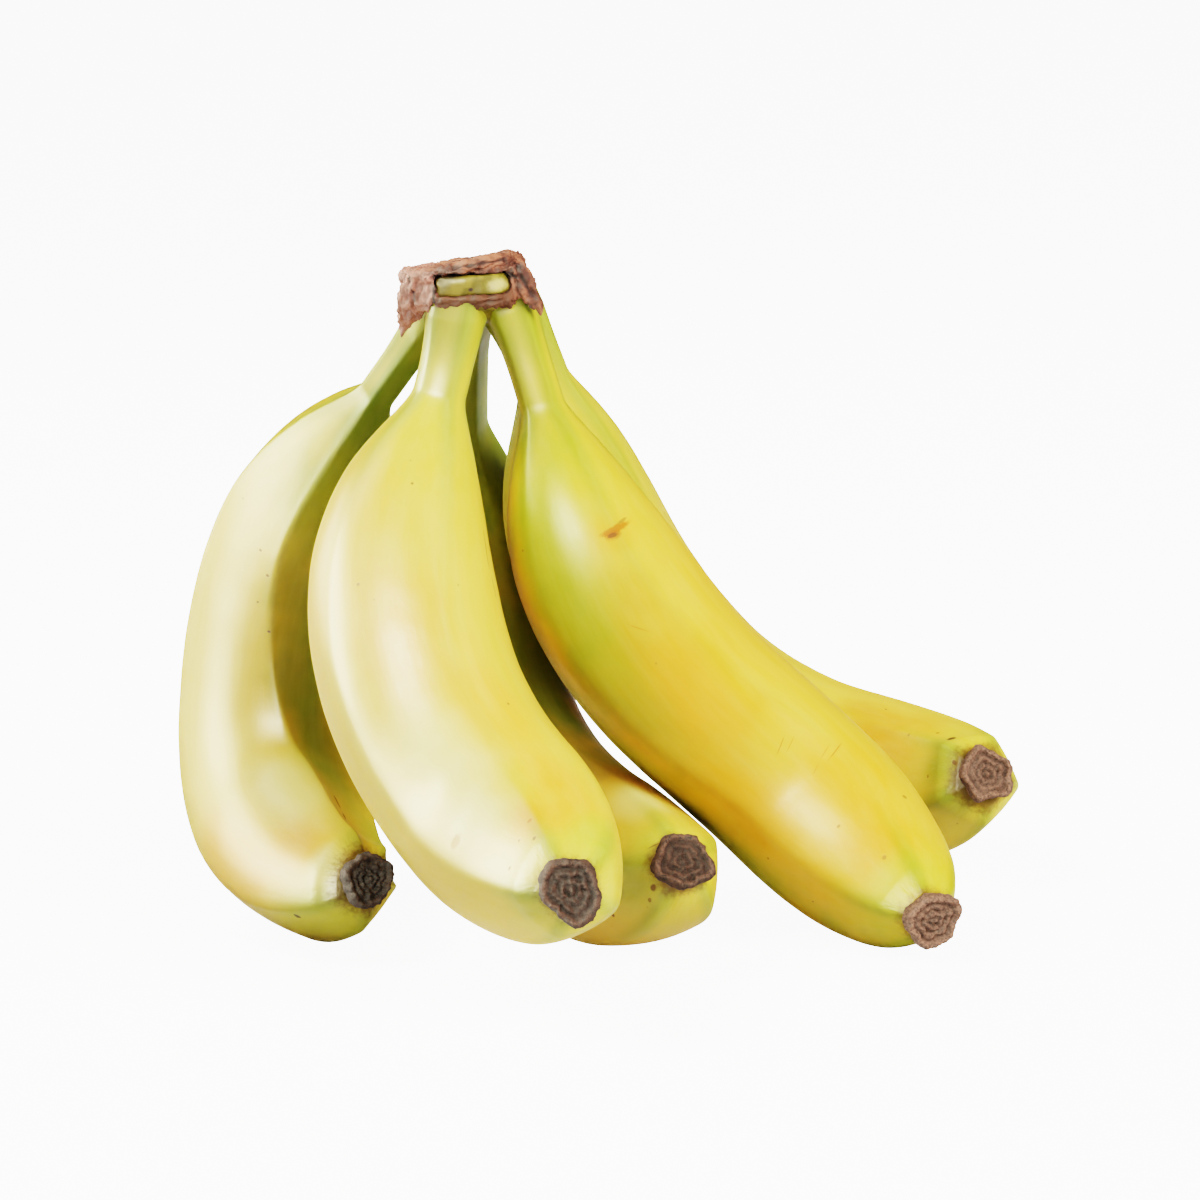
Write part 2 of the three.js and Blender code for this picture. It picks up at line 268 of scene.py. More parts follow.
# Patches of colour and marks of the fruits. Each is turned so many degrees round the fruit and so
# many mm along it, with its half width round it, its half length, its own turn, colour, strength.
# Some patches below are painted shade and some are painted highlight, as said in each list.
peelZones = {
    "left": [
        (58, 162, 14, 24, 0, "golden", 0.9), (24, 176, 15, 14, 0, "golden", 0.8),
        # Partly greener peel, partly painted shade: the deepGreen patches at 322, 336 and 304 degrees
        # on the inner face and neck, the green ones at 112 and 352 and the olive ones at 118 and 346
        # degrees. The pale patches are painted highlight, partly pale bloom.
        (322, 116, 10, 90, 9, "deepGreen", 0.85), (112, 182, 13, 22, 0, "green", 0.85),
        (336, 44, 9, 34, 0, "deepGreen", 0.85), (304, 18, 9, 28, 0, "deepGreen", 0.95),
        (118, 150, 14, 34, 0, "olive", 0.8), (352, 56, 8, 22, 0, "green", 0.5),
        (346, 84, 6, 40, 9, "olive", 0.45),
        (350, 158, 9, 28, 8, "pale", 0.55), (28, 190, 10, 8, 0, "pale", 0.6),
    ],
    "front_left": [
        (8, 82, 13, 28, 0, "golden", 0.7), (334, 110, 14, 34, 0, "golden", 0.65),
        (322, 146, 12, 18, 0, "golden", 0.95), (356, 155, 11, 9, 0, "golden", 0.95),
        (296, 161, 8, 10, 0, "green", 0.8), (84, 165, 6, 8, 0, "deepGreen", 0.3),
        # The pale patches are painted highlight, partly pale bloom on the peel.
        (16, 116, 13, 30, 0, "pale", 0.5), (26, 142, 10, 14, 0, "pale", 0.5),
    ],
    "back_centre": [
        # The pale patch is painted highlight; the deepGreen patches at 306 and 285 degrees are painted
        # shade on the body and stalk between the front fruits, partly greener peel.
        (316, 176, 9, 16, 0, "golden", 0.6), (328, 190, 8, 14, 0, "pale", 0.55),
        (66, 204, 9, 12, 0, "deepGreen", 0.55), (15, 209, 10, 8, 0, "green", 0.8),
        (306, 96, 20, 92, 0, "deepGreen", 0.95), (285, 42, 14, 40, 0, "deepGreen", 0.7),
    ],
    "front_right": [
        # Partly greener peel, partly painted shade: the olive patch at 6 degrees on the middle, and
        # the green patch at 28 and the deepGreen ones at 26 and 82 degrees on the left side, in the
        # front-left fruit's shadow.
        (6, 86, 17, 44, 0, "olive", 0.7), (342, 94, 12, 30, 0, "golden", 0.8),
        (320, 148, 15, 28, 0, "golden", 0.65), (332, 170, 12, 16, 0, "golden", 0.85),
        (12, 134, 10, 42, 0, "golden", 0.6), (340, 182, 12, 7, 0, "green", 0.6),
        (28, 54, 14, 44, 0, "green", 0.85), (26, 58, 10, 44, 0, "deepGreen", 0.4),
        (66, 120, 12, 64, 0, "green", 0.8), (82, 108, 15, 86, 0, "deepGreen", 0.6),
        (331, 52.6, 8, 6, 0, "golden", 0.5),
    ],
    "back_right": [
        (304, 180, 14, 32, 0, "amber", 0.95), (324, 204, 9, 9, 0, "deepGreen", 0.65),
        (24, 208, 8, 10, 0, "deepGreen", 0.5),
    ],
}

peelMarks = {
    "left": [
        (84, 43.2, 0.3, 2.2, 38, "dark", 0.95), (88, 39.5, 0.25, 2.8, 0, "dark", 0.9),
        (94, 179, 1.1, 0.7, 0, "dark", 0.8), (314, 166, 0.4, 4, 5, "brown", 0.6),
        (314, 174, 0.4, 2.5, -5, "brown", 0.6), (18, 70.2, 0.5, 0.4, 0, "brown", 0.7),
        (6, 75.6, 0.5, 0.5, 0, "brown", 0.8), (8, 84.4, 0.4, 0.4, 0, "brown", 0.7),
        (356, 91.7, 0.5, 0.4, 0, "brown", 0.8),
    ],
    "front_left": [
        (46, 139.5, 2.2, 1.6, 0, "bruise", 0.45), (0, 156.3, 0.7, 0.5, 0, "bruise", 0.8),
        (6, 161.5, 0.6, 0.5, 0, "brown", 0.7), (46, 159.8, 0.6, 0.4, 0, "brown", 0.7),
        (18, 158, 0.5, 0.4, 0, "brown", 0.5), (288, 54.4, 0.35, 7, 0, "brown", 0.55),
        (286, 66, 0.3, 4, 0, "brown", 0.5), (30, 66, 0.5, 0.4, 0, "brown", 0.6),
    ],
    "back_centre": [
        (350, 211, 1.2, 1, 0, "dark", 0.9), (4, 209, 0.25, 2.6, 65, "brown", 0.5),
        (26, 211.5, 0.9, 0.6, 20, "dark", 0.8), (88, 208.3, 1, 0.8, 0, "brown", 0.8),
        (86, 211.5, 0.8, 0.6, 0, "dark", 0.6), (90, 193.7, 0.7, 0.6, 0, "brown", 0.8),
        (98, 206, 0.6, 0.6, 0, "brown", 0.6),
    ],
    "front_right": [
        (330, 52.3, 4.6, 0.9, 1, "bruise", 0.85), (334, 53.2, 2.3, 1.2, 0, "bruise", 0.7),
        (334.5, 53.2, 1.4, 0.6, 0, "brown", 0.75), (321.5, 51.3, 1.8, 0.4, 4, "brown", 0.5),
        (334, 122, 3, 0.25, 25, "bruise", 0.6), (330, 124.5, 2.4, 0.2, 20, "bruise", 0.5),
        (312, 138, 3.4, 0.3, 15, "bruise", 0.7), (317, 135.5, 2.4, 0.2, 20, "bruise", 0.5),
        (330, 138, 1.8, 0.2, 30, "bruise", 0.5), (282, 160.6, 0.9, 0.7, 0, "brown", 0.6),
        (345, 160, 0.6, 0.5, 0, "brown", 0.5), (335, 176, 0.7, 0.6, 0, "brown", 0.5),
        (350, 73, 0.2, 3, 40, "bruise", 0.4),
    ],
    "back_right": [
        (282, 202, 1.5, 0.9, 10, "dark", 0.85), (282, 196, 0.6, 0.5, 0, "brown", 0.6),
        (316, 206.7, 0.8, 0.5, 0, "brown", 0.8), (300, 190, 0.5, 0.5, 0, "brown", 0.5),
        (340, 200, 0.5, 0.4, 0, "brown", 0.6),
    ],
}


def makePeel(name, look, ripeness, pallor, gloss, zones, marks):
    material, bench, shader = newMaterial(name, look["yellow"], look["roughness"])
    shader.inputs["Specular IOR Level"].default_value = gloss
    shader.inputs["IOR"].default_value = look["ior"]
    place = bench.node("ShaderNodeTexCoord", None, None, "Object")
    straight = bench.attribute("straight", "Vector")         # place on the straightened fruit, metres
    lengthwise = bench.attribute("lengthwise")               # 0 at the crown, 1 at the tip
    ridgeGap = bench.attribute("ridgeGap")                   # metres to the nearest ridge
    x, y, z = bench.parts(straight)
    stretched = bench.vector(x, y, z * look["streakStretch"])

    broad = bench.noise(place, look["broadNoise"])
    streaks = bench.noise(stretched, look["streakNoise"], 3.0, 0.6)
    fine = bench.noise(place, look["fineNoise"], 3.0, 0.6)

    colour = bench.blend(broad.step(0.45, 0.7) * 0.3 + ripeness, look["yellow"], look["golden"])
    neckGreen = 1 - (lengthwise + (broad - 0.5) * 0.12).step(0.1, 0.36)
    tipGreen = (lengthwise + (broad - 0.5) * 0.1).step(0.86, 0.97)
    nearRidge = 1 - ridgeGap.step(*look["ridgeGreenWidth"])
    ridgeGreen = nearRidge * (0.2 + 0.8 * neckGreen.most(tipGreen))
    colour = bench.blend(neckGreen * 0.5, colour, look["green"])
    colour = bench.blend(tipGreen * 0.5, colour, look["green"])
    ragged = bench.noise(place, look["zoneNoise"])
    for *patch, colourName, strength in zones:
        mask = patchMask(x, y, z, ragged, look["zoneRagged"], look["zoneCore"], *patch)
        colour = bench.blend(mask * strength, colour, look[colourName])
    colour = bench.blend(ridgeGreen * 0.5, colour, look["deepGreen"])
    # painted shade under the crown: the stalk tops darker and greener just below it
    shadeUnderCrown = 1 - (lengthwise + (fine - 0.5) * 0.02).step(0.02, 0.09)
    colour = bench.blend(shadeUnderCrown * 0.4, colour, look["deepGreen"])
    colour = bench.blend((streaks - 0.5) * 0.22 + pallor, colour, look["pale"])

    # freckles: small brown points, most of them faint
    cells = bench.tree.nodes.new("ShaderNodeTexVoronoi")
    cells.inputs["Scale"].default_value = look["freckles"]
    bench.tree.links.new(place.socket, cells.inputs["Vector"])
    gap = Wire(bench, cells.outputs["Distance"])
    chance, shade, _ = bench.parts(Wire(bench, cells.outputs["Color"]))
    freckle = (1 - gap.step(0.03, 0.1)) * chance.step(0.86, 0.9) * (0.3 + 0.6 * shade)
    colour = bench.blend(freckle, colour, look["brown"])

    worn = freckle
    for *patch, colourName, strength in marks:
        mask = patchMask(x, y, z, fine, look["markRagged"], look["markCore"], *patch) * strength
        colour = bench.blend(mask, colour, look[colourName])
        worn = worn.most(mask)

    nearTip = (lengthwise + (fine - 0.5) * 0.016).step(0.966, 0.98)
    colour = bench.blend(nearTip * 0.75, colour, look["brown"])
    feed(bench, shader, "Base Color", colour)
    feed(bench, shader, "Roughness",
         look["roughness"] + (broad - 0.5) * 0.12 + (fine - 0.5) * 0.1 + worn * 0.25)
    shortened = bench.vector(x, y, z * look["wrinkleStretch"])
    wrinkles = bench.noise(shortened, look["wrinkleNoise"], 3.0, 0.6) * lengthwise.step(0.93, 0.975)
    height = streaks * 0.5 + fine * 0.18 + wrinkles * 1.6 - worn * 0.3
    roughen(bench, shader, look["bump"], look["bumpDepth"], height)
    return material


def patchMask(x, y, z, ragged, raggedness, core, turn, distance, halfWidth, halfLength, ownTurn):
    # 1 in the core of an oval patch and 0 outside it; the place is on the straightened fruit
    cosine = math.cos(turn * degree)
    sine = math.sin(turn * degree)
    beside = y * cosine - x * sine
    outward = x * cosine + y * sine
    beyond = z - distance * mm
    ownCosine = math.cos(ownTurn * degree)
    ownSine = math.sin(ownTurn * degree)
    across = (beside * ownCosine + beyond * ownSine) / (halfWidth * mm)
    down = (beyond * ownCosine - beside * ownSine) / (halfLength * mm)
    reach = (across * across + down * down) ** 0.5 + (ragged - 0.5) * (2 * raggedness)
    return (1 - reach.step(core, 1.1)) * outward.step(0.0, 0.002)


# Millimetres and degrees. Middle lines bend as aim says, away from straight down, at even steps.
fruitShape = {
    "shoulderLength": 75, "shoulderPower": 3.4, "shoulderSoftness": 0.08, "tipLength": 50,
    "tipPower": 1.8, "tipRadius": 6.2, "bulgeSpan": 6, "rooted": 9, "stalkTop": 154, "flare": 0.14,
    "flareLength": 14, "ridgeCount": 5, "stalkFacet": 0.7, "stalkFacetLength": 46,
    "tipFacet": 0.95, "tipFacetLength": 54, "blossomLength": 4.5, "rows": 230, "columns": 120,
    "crowding": 0.07, "columnCrowding": 0.6, "walkSteps": 900, "keelWidth": 1.4, "lumps": 0.35,
    "lumpNoise": 42.0, "wander": 0.2, "wanderNoise": 16.0, "endRound": 5, "endTaper": 0.46,
    "evenPentagon": 0.87, "seeds": (3, 7),
}

fruits = [
    {
        "name": "left", "root": (-35.2, 14.3, 145), "heading": 301.1, "lean": (13.9, 12.2, 15.8),
        "aim": (-45.7, -43.5, -18.5, 10.4, 67.2, 108), "length": 194.6, "girth": 40.4,
        "stalkRadius": 4.1, "stalkLength": 22.1, "bulge": 0.7, "facet": 0.6,
        "ridgeTurn": (0.7, -3, 6, 13.5), "stray": (0, 5, -29, -52), "ridgeSoftness": 0.05,
        "keelHeight": 0.2, "ripeness": 0.0, "pallor": 0.12, "gloss": 0.3,
    },
    {
        "name": "front_left", "root": (-26.7, 1.3, 149.9), "heading": 227,
        "lean": (14.2, -27.1, -99.5), "aim": (5, 26, 13.9, 2.9, 16.7, 43.7), "length": 172.3,
        "girth": 45.6, "stalkRadius": 6.2, "stalkLength": 18, "bulge": 0.1, "facet": 0.35,
        "ridgeTurn": (48, 48, 55.7, 69.3), "stray": (0, 0, 0, 0), "ridgeSoftness": 0.15,
        "keelHeight": 0.05, "ripeness": 0.05, "pallor": 0.12, "gloss": 0.44,
    },
    {
        "name": "back_centre", "root": (-25.8, 29.3, 144.2), "heading": 299.6,
        "lean": (-17.2, 2.8, -30), "aim": (-36.9, -20.8, 9.2, 59.2, 85.1, 122.3),
        "length": 215.3, "girth": 41.2, "stalkRadius": 6, "stalkLength": 31.8, "bulge": -1.1,
        "facet": 0.5, "ridgeTurn": (37.8, 38.3, 40.6, 42.8), "stray": (0, 0, 0, 0),
        "ridgeSoftness": 0.09, "keelHeight": 0.12, "ripeness": 0.1, "pallor": 0.12, "gloss": 0.4,
    },
    {
        "name": "front_right", "root": (-13.7, 4.3, 149.4), "heading": 216.9,
        "lean": (-14.6, -15.7, -82.4), "aim": (-8.4, -6.6, -28.7, -37.7, -4.9, 16.8),
        "length": 191.3, "girth": 42.5, "stalkRadius": 5.2, "stalkLength": 21.6, "bulge": -1,
        "facet": 0.35, "ridgeTurn": (36.8, 40.5, 20.7, 26.5), "stray": (0, 0, 0, 0),
        "ridgeSoftness": 0.13, "keelHeight": 0.07, "ripeness": 0.24, "pallor": 0.06, "gloss": 0.2,
    },
    {
        "name": "back_right", "root": (-12.9, 19.8, 146.7), "heading": 323.6,
        "lean": (-18.8, -37.2, -59.2), "aim": (11.4, -6.4, 8.5, 26.1, 81.7, 134.4),
        "length": 212, "girth": 40.9, "stalkRadius": 6.3, "stalkLength": 16.3, "bulge": 0.6,
        "facet": 0.5, "ridgeTurn": (18, 17.5, 13.7, 10.1), "stray": (0, 0, 0, 0),
        "ridgeSoftness": 0.09, "keelHeight": 0.12, "ripeness": 0.06, "pallor": 0.12, "gloss": 0.2,
    },
]


def valueAlong(values, t):                      # smooth value at fraction t of evenly spaced ones
    at = (len(values) - 1) * t
    i = min(int(at), len(values) - 1)
    before = values[max(i - 1, 0)]
    here = values[i]
    after = values[min(i + 1, len(values) - 1)]
    beyond = values[min(i + 2, len(values) - 1)]
    w = at - i
    leave = (after - before) / 2
    arrive = (beyond - here) / 2
    return ((2 * here - 2 * after + leave + arrive) * w ** 3
            + (3 * after - 3 * here - 2 * leave - arrive) * w ** 2 + leave * w + here)


def directionAt(fruit, t):
    heading = fruit["heading"] * degree
    lean = valueAlong(fruit["lean"], t) * degree
    aim = valueAlong(fruit["aim"], t) * degree
    outward = Vector((math.cos(heading), math.sin(heading), 0))
    downward = Vector((math.sin(lean) * math.sin(heading), -math.sin(lean) * math.cos(heading),
                       -math.cos(lean)))
    return downward * math.cos(aim) + outward * math.sin(aim)


def walkMiddleLine(fruit):                      # stops of (distance, place, along, side), in mm
    start = directionAt(fruit, 0)
    place = Vector(fruit["root"]) - start * fruitShape["rooted"]
    side = Vector((0, -1, 0))
    step = (fruit["length"] + fruitShape["rooted"]) / fruitShape["walkSteps"]
    stops = []
    for i in range(fruitShape["walkSteps"] + 1):
        distance = i * step - fruitShape["rooted"]
        along = directionAt(fruit, min(max(distance, 0) / fruit["length"], 1))
        side = (side - along * side.dot(along)).normalized()
        stops.append((distance, place.copy(), along, side))
        after = directionAt(fruit, min(max(distance + step, 0) / fruit["length"], 1))
        place = place + (along + after).normalized() * step
    return stops


def stopAt(stops, distance):
    step = stops[1][0] - stops[0][0]
    at = min(max((distance - stops[0][0]) / step, 0), len(stops) - 1.001)
    i = int(at)
    w = at - i
    (_, placeA, alongA, sideA), (_, placeB, alongB, sideB) = stops[i], stops[i + 1]
    return (placeA.lerp(placeB, w), alongA.lerp(alongB, w).normalized(),
            sideA.lerp(sideB, w).normalized())


carried = {                                     # what each point of a string tells its ring
    "along": "FLOAT_VECTOR", "side": "FLOAT_VECTOR", "distance": "FLOAT", "width": "FLOAT",
    "turn": "FLOAT", "stray": "FLOAT",
}


def pathPiece(name, rows):                      # a string of points, one for each ring
    mesh = bpy.data.meshes.new(name)
    mesh.from_pydata([row["place"] for row in rows], [(i, i + 1) for i in range(len(rows) - 1)], [])
    for label, kind in carried.items():
        layer = mesh.attributes.new(label, kind, "POINT")
        for i, row in enumerate(rows):
            if kind == "FLOAT":
                layer.data[i].value = row[label]
            else:
                layer.data[i].vector = row[label]
    return plainPiece(name, mesh)


def wrapGrid(bench, given):                     # a grid whose rows follow the string of points
    rows = bench.node("GeometryNodeAttributeDomainSize", {"component": "MESH"},
                      {0: given["Geometry"]})
    grid = bench.node("GeometryNodeMeshGrid", None,
                      {"Size X": 1.0, "Size Y": 1.0, "Vertices X": rows,
                       "Vertices Y": given["Columns"] + 1})
    x, y, _ = bench.parts(bench.node("GeometryNodeInputPosition"))
    row = (x + 0.5) * (rows - 1)
    index = bench.node("ShaderNodeMath", {"operation": "ROUND"}, {0: row})

    def sampled(value, kind):
        return bench.node("GeometryNodeSampleIndex", {"data_type": kind, "domain": "POINT"},
                          {"Geometry": given["Geometry"], "Value": value, "Index": index})

    at = {"around": y + 0.5, "place": sampled(bench.node("GeometryNodeInputPosition"), "FLOAT_VECTOR")}
    for label, kind in carried.items():
        stored = bench.node("GeometryNodeInputNamedAttribute", {"data_type": kind}, {"Name": label})
        at[label] = sampled(stored, kind)
    at["across"] = bench.vectorMaths("CROSS_PRODUCT", at["along"], at["side"])
    return grid, at


def ringOffset(bench, at, cosine, sine, ring):  # from the middle line out to the skin
    sideways = bench.scaled(at["side"], cosine * ring)
    return bench.vectorMaths("ADD", sideways, bench.scaled(at["across"], sine * ring))


def keep(bench, geometry, name, kind, value):
    return bench.node("GeometryNodeStoreNamedAttribute", {"data_type": kind, "domain": "POINT"},
                      {"Geometry": geometry, "Name": name, "Value": value})


def makePeelTree(shape):
    tree, bench, given = newTree("peelSweep", {
        "Columns": "Int", "Length": "Float", "Girth": "Float", "Stalk Radius": "Float",
        "Stalk Length": "Float", "Bulge": "Float", "Facet": "Float", "Ridge Softness": "Float",
        "Keel Height": "Float", "Lumps": "Float", "Seed": "Float", "Peel": "Material"})
    grid, at = wrapGrid(bench, given)
    distance = at["distance"]

    widening = (distance - given["Stalk Length"]).most(0.0) / (shape["shoulderLength"] * mm)
    softWidening = widening * widening / (widening + shape["shoulderSoftness"])
    flaring = (1 - (distance / (shape["flareLength"] * mm)).easeOut(2)) * shape["flare"]
    stalk = given["Stalk Radius"] * (1 + flaring)
    body = stalk + (given["Girth"] * 0.5 - stalk) * softWidening.easeOut(shape["shoulderPower"])
    tip = shape["tipRadius"] * mm
    toTip = given["Length"] - distance
    radius = tip + (body - tip) * (toTip / (shape["tipLength"] * mm)).easeOut(shape["tipPower"])
    behindTip = (toTip - shape["bulgeSpan"] * mm) / (shape["bulgeSpan"] * mm)
    radius = radius + given["Bulge"] * (0 - behindTip * behindTip).maths("EXPONENT")

    nearStalk = 1 - (distance / (shape["stalkFacetLength"] * mm)).easeOut(2)
    nearTip = 1 - (toTip / (shape["tipFacetLength"] * mm)).easeOut(2)
    facet = (given["Facet"] + (shape["stalkFacet"] - given["Facet"]) * nearStalk
             + (shape["tipFacet"] - given["Facet"]) * nearTip)
    toEnd = distance.most(0.0).least(toTip) / (shape["stalkFacetLength"] * mm)

    # columns keep to the ridges and crowd together near them
    half = math.pi / shape["ridgeCount"]
    share = at["around"] * shape["ridgeCount"]
    face = share.maths("FLOOR")
    inFace = share - face
    crowd = shape["columnCrowding"] / (2 * math.pi)
    inFace = inFace - (inFace * (2 * math.pi)).maths("SINE") * crowd
    unsteady = bench.noise(bench.vector(given["Seed"], 0.0, distance), shape["wanderNoise"], 1.0)
    wander = (unsteady - 0.5) * shape["wander"]
    ridges = face + inFace
    strayShare = (1 - ridges).most(0.0) + ((ridges - 3) / 2).most(0.0)       # the ridge before follows
    angle = ridges * (2 * half) + at["turn"] + at["stray"] * strayShare + wander * toEnd.held()
    gap = half - abs(inFace * (2 * half) - half)
    cosine = angle.maths("COSINE")
    sine = angle.maths("SINE")
    straightPlace = bench.vector(cosine * radius, sine * radius, distance)
    seeded = bench.vectorMaths("ADD", straightPlace, bench.vector(given["Seed"], 0.0, 0.0))

    softGap = (gap * gap + given["Ridge Softness"] * given["Ridge Softness"]) ** 0.5
    pentagon = math.cos(half) / (half - softGap).maths("COSINE")
    ridged = 1 + facet * (pentagon / shape["evenPentagon"] - 1)
    fromRidge = gap * radius / (shape["keelWidth"] * mm)
    keel = (0 - fromRidge * fromRidge).maths("EXPONENT") * given["Keel Height"]

    lumps = (bench.noise(seeded, shape["lumpNoise"]) - 0.5) * given["Lumps"] * 2
    closing = 1 - (toTip - shape["blossomLength"] * mm) / (shape["endRound"] * mm)
    closed = (1 - closing.held() ** 2 * shape["endTaper"]) ** 0.5
    ring = (radius * ridged + keel + lumps * (toEnd.held() * 0.7 + 0.3)) * closed * at["width"]
    offset = ringOffset(bench, at, cosine, sine, ring)
    x, y, z = bench.parts(bench.vectorMaths("ADD", at["place"], offset))
    skin = keep(bench, grid, "straight", "FLOAT_VECTOR", straightPlace)
    skin = keep(bench, skin, "lengthwise", "FLOAT", distance / given["Length"])
    skin = keep(bench, skin, "ridgeGap", "FLOAT", gap * radius)
    held = bench.vector(x, y, z.most(0.0).least(shape["stalkTop"] * mm))
    finishTree(bench, skin, held, given["Peel"])
    return tree


def makeFruit(fruit, tree, peel, seed):
    stops = walkMiddleLine(fruit)
    rooted = fruitShape["rooted"]
    end = fruit["length"] - fruitShape["blossomLength"] + 0.2
    rows = []
    count = fruitShape["rows"]
    for i in range(count):
        t = i / (count - 1)
        distance = -rooted + (end + rooted) * (t - fruitShape["crowding"] * math.sin(2 * math.pi * t))
        place, along, side = stopAt(stops, distance)
        t = min(max(distance, 0) / fruit["length"], 1)
        rows.append({"place": place * mm, "along": along, "side": side, "distance": distance * mm,
                     "width": 1.0, "turn": valueAlong(fruit["ridgeTurn"], t) * degree,
                     "stray": valueAlong(fruit["stray"], t) * degree})
    rows.insert(0, dict(rows[0], width=0.0))
    rows.append(dict(rows[-1], width=0.0))
    piece = pathPiece("peel_" + fruit["name"], rows)
    grown(piece, tree, {
        "Columns": fruitShape["columns"], "Length": fruit["length"] * mm, "Girth": fruit["girth"] * mm,
        "Stalk Radius": fruit["stalkRadius"] * mm, "Stalk Length": fruit["stalkLength"] * mm,
        "Bulge": fruit["bulge"] * mm, "Facet": fruit["facet"],
        "Ridge Softness": fruit["ridgeSoftness"], "Keel Height": fruit["keelHeight"] * mm,
        "Lumps": fruitShape["lumps"] * mm, "Seed": float(seed), "Peel": peel})
    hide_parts("banana_" + fruit["name"])
    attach(piece, "root")


peelTree = makePeelTree(fruitShape)
firstSeed, seedStep = fruitShape["seeds"]
for order, fruit in enumerate(fruits):
    name = fruit["name"]
    peel = makePeel("peel " + name.replace("_", " "), peelLook, fruit["ripeness"], fruit["pallor"],
                    fruit["gloss"], peelZones[name], peelMarks[name])
    makeFruit(fruit, peelTree, peel, firstSeed + seedStep * order)
print("five fruits grown")


# Each blossom end has its size, the strengths and turns of its two, three and five lobes (shares of
# its radius, degrees) and its tone, from 0, the darkest, to 1: partly the scar's own shade, partly
# painted light and shade for how lit it is.
blossomLook = {
    "dark": tint(38, 26, 22), "brown": tint(78, 55, 44), "rim": tint(118, 86, 68),
    "pale": tint(176, 134, 110), "coarseNoise": 420.0, "fineNoise": 1600.0, "bump": 0.8,
    "bumpDepth": 0.0006, "columns": 96, "ragged": 0.13, "raggedNoise": 420.0, "lumps": 0.0016,
    "lumpNoise": 560.0, "seeds": (1.1, 0.5),
    "scars": {
        "left": (0.98, (0.06, 0.05, 0.04), (95, 20, 40), 0.0),
        "front_left": (1.04, (0.12, 0.06, 0.05), (0, 50, 10), 0.06),
        "back_centre": (1.0, (0.05, 0.06, 0.06), (30, 80, 65), 0.08),
        "front_right": (1.0, (0.04, 0.07, 0.05), (60, 10, 25), 0.6),
        "back_right": (0.98, (0.05, 0.05, 0.06), (120, 35, 50), 0.5),
    },
    # height and width of each level, as shares of the blossom end's length and of the tip's radius
    "profile": [(-0.1, 0.0), (-0.1, 0.9), (0.1, 0.97), (0.35, 1.04), (0.6, 1.07), (0.8, 1.05),
                (0.92, 0.99), (0.97, 0.92), (0.93, 0.86), (0.84, 0.81), (0.76, 0.76), (0.74, 0.71),
                (0.82, 0.65), (0.87, 0.59), (0.84, 0.53), (0.75, 0.48), (0.72, 0.43), (0.78, 0.37),
                (0.84, 0.31), (0.8, 0.25), (0.7, 0.2), (0.72, 0.14), (0.86, 0.08), (0.9, 0.0)],
}


def makeBlossomMaterial(look):
    material, bench, shader = newMaterial("dried blossom", look["brown"], 0.9)
    place = bench.node("ShaderNodeTexCoord", None, None, "Object")
    coarse = bench.noise(place, look["coarseNoise"], 4.0, 0.65)
    fine = bench.noise(place, look["fineNoise"], 3.0, 0.6)
    inward = bench.attribute("inward")          # 0 at the outer edge of the cup, 1 in the middle
    hollow = bench.attribute("hollow")          # 1 in the grooves between its rings
    toneAndLight = bench.attribute("toneAndLight")
    colour = bench.blend(coarse.step(0.35, 0.65), look["dark"], look["brown"])
    # painted highlight: a paler band along the cup's outer edge
    rim = (1 - abs(inward - 0.1) * 7).held() * fine.step(0.35, 0.6)
    colour = bench.blend(rim * 0.6, colour, look["rim"])
    # paler where the tone is high and darker where it is lowest: partly the scar's own colour, partly
    # painted light and painted shade
    colour = bench.blend(toneAndLight * (0.25 + 0.75 * fine.step(0.3, 0.65)) * 0.75, colour, look["pale"])
    colour = bench.blend((1 - toneAndLight).step(0.9, 1.0) * 0.5, colour, look["dark"])
    colour = bench.blend(hollow * (coarse.step(0.3, 0.6) * 0.6), colour, look["dark"])
    feed(bench, shader, "Base Color", colour)
    feed(bench, shader, "Roughness", 0.6 + fine * 0.35)
    roughen(bench, shader, look["bump"], look["bumpDepth"], coarse + fine * 0.6)
    return material


def makeBlossomTree(look):
    tree, bench, given = newTree("blossomCup", {
        "Columns": "Int", "Radius": "Float", "Two Lobes": "Float", "Three Lobes": "Float",
        "Five Lobes": "Float", "Two Turn": "Float", "Three Turn": "Float", "Five Turn": "Float",
        "Tone And Light": "Float", "Seed": "Float", "Blossom": "Material"})
    grid, at = wrapGrid(bench, given)
    distance = at["distance"]
    width = at["width"]
    radius = given["Radius"]
    angle = at["around"] * (2 * math.pi) + at["turn"]
    cosine = angle.maths("COSINE")
    sine = angle.maths("SINE")
    lobes = sum(((angle - given[label + " Turn"]) * count).maths("COSINE") * given[label + " Lobes"]
                for label, count in (("Two", 2), ("Three", 3), ("Five", 5)))
    circle = bench.vector(cosine * radius, sine * radius, distance * 1.2 + given["Seed"])
    ragged = (bench.noise(circle, look["raggedNoise"], 3.0, 0.6) - 0.5) * look["ragged"] * 2
    crumpled = ragged * width.step(0.02, 0.3) * 0.4
    ring = radius * (width * (1 + lobes + ragged * width) + crumpled)
    flat = bench.vector(cosine * ring, sine * ring, given["Seed"])
    lump = bench.noise(flat, look["lumpNoise"], 3.0, 0.6) - 0.5
    inner = distance.step(0.0012, 0.003)
    lift = bench.scaled(at["along"], lump * look["lumps"] * 2 * inner)
    offset = bench.vectorMaths("ADD", ringOffset(bench, at, cosine, sine, ring), lift)
    depth = 1 - distance.step(0.0031, 0.0039)
    cup = keep(bench, grid, "inward", "FLOAT", (1 - width) * distance.step(0.0014, 0.0028))
    cup = keep(bench, cup, "hollow", "FLOAT", depth * inner * (1 - width).step(0.15, 0.2))
    cup = keep(bench, cup, "toneAndLight", "FLOAT", given["Tone And Light"])
    finishTree(bench, cup, bench.vectorMaths("ADD", at["place"], offset), given["Blossom"])
    return tree


